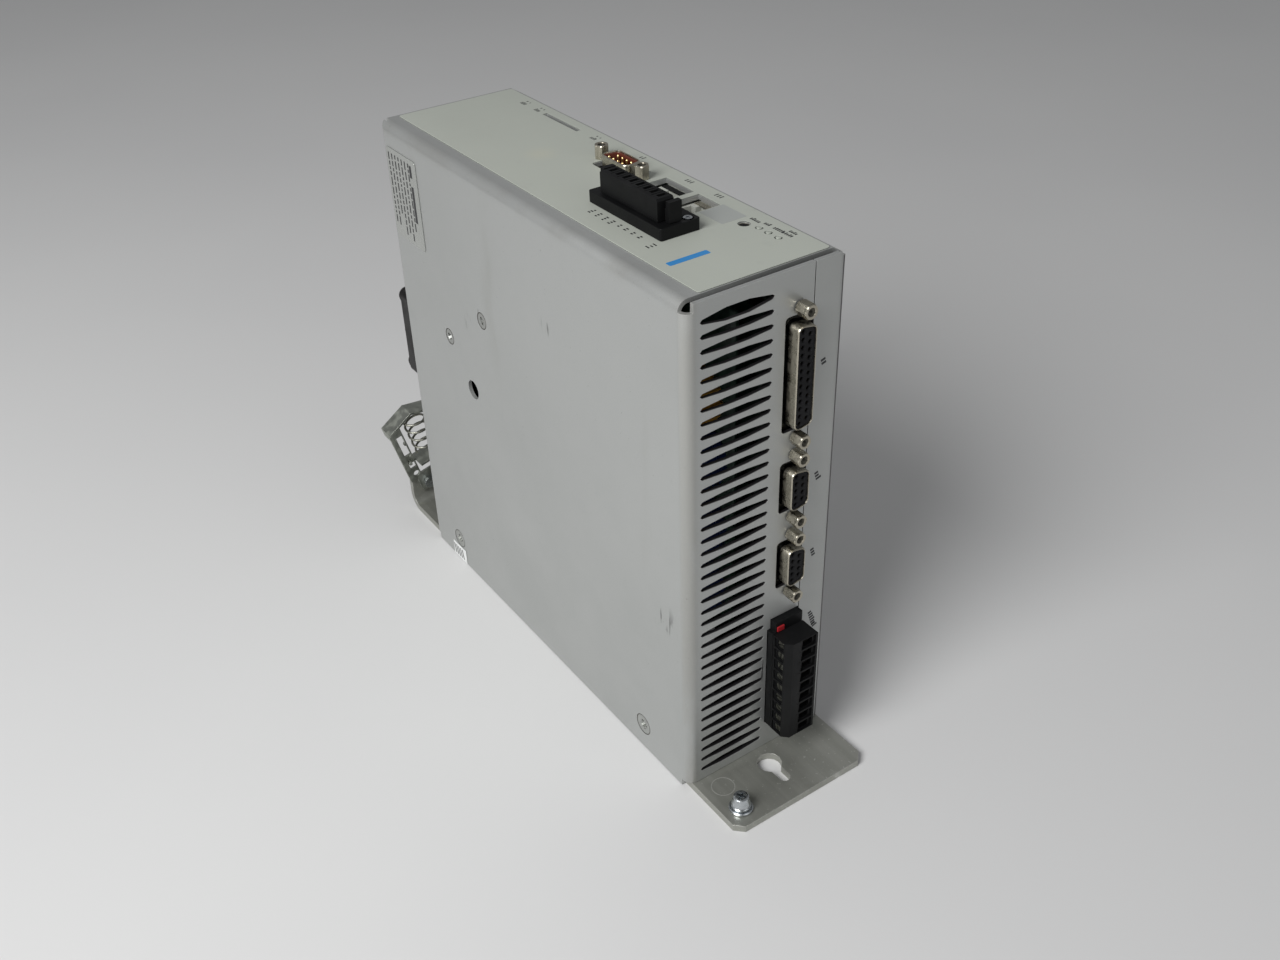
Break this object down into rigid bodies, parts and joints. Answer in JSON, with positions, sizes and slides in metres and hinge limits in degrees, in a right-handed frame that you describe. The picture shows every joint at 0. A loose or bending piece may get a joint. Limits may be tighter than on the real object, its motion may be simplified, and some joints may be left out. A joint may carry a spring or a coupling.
{
  "type": "servo drive",
  "caption": "Slim servo drive on a mounting plate: folded housing with a louvred end, D-sub sockets, a power plug, top control connectors, a rear fan and a sprung shield clamp.",
  "frame": {"origin": "centre of the housing's footprint, on the underside of the mounting plate", "axes": "+X to the right of the louvred end, +Y from the louvred end to the fan end, +Z away from the mounting plate"},
  "size_m": [0.0708, 0.2589, 0.2127],
  "materials": {
    "plate_metal": "dull rolled sheet",
    "housing_paint": "fine silver-grey paint, semi-gloss",
    "film": "printed film, satin",
    "label_film": "clear-coated label",
    "seal_paper": "white seal",
    "fastener_steel": "zinc-plated",
    "connector_metal": "tin-plated, slightly warm",
    "black_plastic": "moulded, fine texture",
    "brown_plastic": "moulded thermoset",
    "jack_plastic": "moulded, light grey",
    "light_pipe": "clear moulding",
    "board": "solder-masked laminate",
    "sink_metal": "extruded",
    "capacitor_sleeve": "shrink sleeve",
    "choke_winding": "coated winding",
    "clamp_steel": "grey zinc-plated sheet",
    "spring_steel": "drawn wire"
  },
  "bodies": {
    "drive": {"mounting_plate": "plate_metal", "outer_cover": "housing_paint", "chassis": "housing_paint", "top_film": "film", "side_label": "label_film", "seal_sticker": "seal_paper", "cover_screw_front": "fastener_steel", "cover_screw_rear": "fastener_steel", "board_screw_upper": "fastener_steel", "board_screw_lower": "fastener_steel", "x1_shell": "connector_metal", "x1_insert": "black_plastic", "x1_post_lower": "connector_metal", "x1_post_upper": "connector_metal", "x10_shell": "connector_metal", "x10_insert": "black_plastic", "x10_post_lower": "connector_metal", "x10_post_upper": "connector_metal", "x11_shell": "connector_metal", "x11_insert": "black_plastic", "x11_post_lower": "connector_metal", "x11_post_upper": "connector_metal", "x5_shell": "connector_metal", "x5_insert": "brown_plastic", "x5_post_lower": "connector_metal", "x5_post_upper": "connector_metal", "x9_header": "black_plastic", "x40_base": "black_plastic", "x40_screw_front": "fastener_steel", "x40_screw_rear": "fastener_steel", "x18_jack": "jack_plastic", "x19_jack": "jack_plastic", "card_socket": "black_plastic", "reset_switch": "black_plastic", "status_light_pipe": "light_pipe", "control_board": "board", "power_board": "board", "heat_sink": "sink_metal", "power_module": "black_plastic", "bus_capacitor_1": "capacitor_sleeve", "bus_capacitor_2": "capacitor_sleeve", "bus_capacitor_3": "capacitor_sleeve", "line_choke": "choke_winding", "earth_washer": "fastener_steel", "earth_lock_washer": "fastener_steel", "earth_screw": "fastener_steel", "fan_frame": "black_plastic", "fan_guard": "black_plastic", "fan_screw_1": "black_plastic", "fan_screw_2": "black_plastic", "fan_screw_3": "black_plastic", "fan_screw_4": "black_plastic", "clamp_frame": "clamp_steel", "clamp_spring": "spring_steel", "clamp_screw": "fastener_steel"},
    "fan_rotor": {"fan_rotor": "black_plastic"},
    "reset_button": {"reset_button": "black_plastic"},
    "x9_plug": {"x9_plug": "black_plastic"},
    "x40_plug": {"x40_plug": "black_plastic"},
    "clamp_saddle": {"clamp_saddle": "clamp_steel"}
  },
  "joints": [
    {"name": "fan_spin", "type": "hinge", "parent": "drive", "child": "fan_rotor", "pos_m": [-0.00885, 0.1053, 0.1025], "axis": [0, 1, 0], "continuous": true},
    {"name": "reset_press", "type": "slide", "parent": "drive", "child": "reset_button", "axis": [0, 0, -1], "range_m": [0, 0.0008], "stiffness_N_per_m": 1500, "springref_m": -0.0002},
    {"name": "x9_unplug", "type": "slide", "parent": "drive", "child": "x9_plug", "axis": [0, -1, 0], "range_m": [0, 0.012]},
    {"name": "x40_unplug", "type": "slide", "parent": "drive", "child": "x40_plug", "axis": [0, 0, 1], "range_m": [0, 0.01]},
    {"name": "saddle_lift", "type": "slide", "parent": "drive", "child": "clamp_saddle", "axis": [-0.2588, 0, 0.9659], "range_m": [0, 0.013], "stiffness_N_per_m": 500, "springref_m": -0.004, "deforming": ["clamp_spring"]}
  ]
}
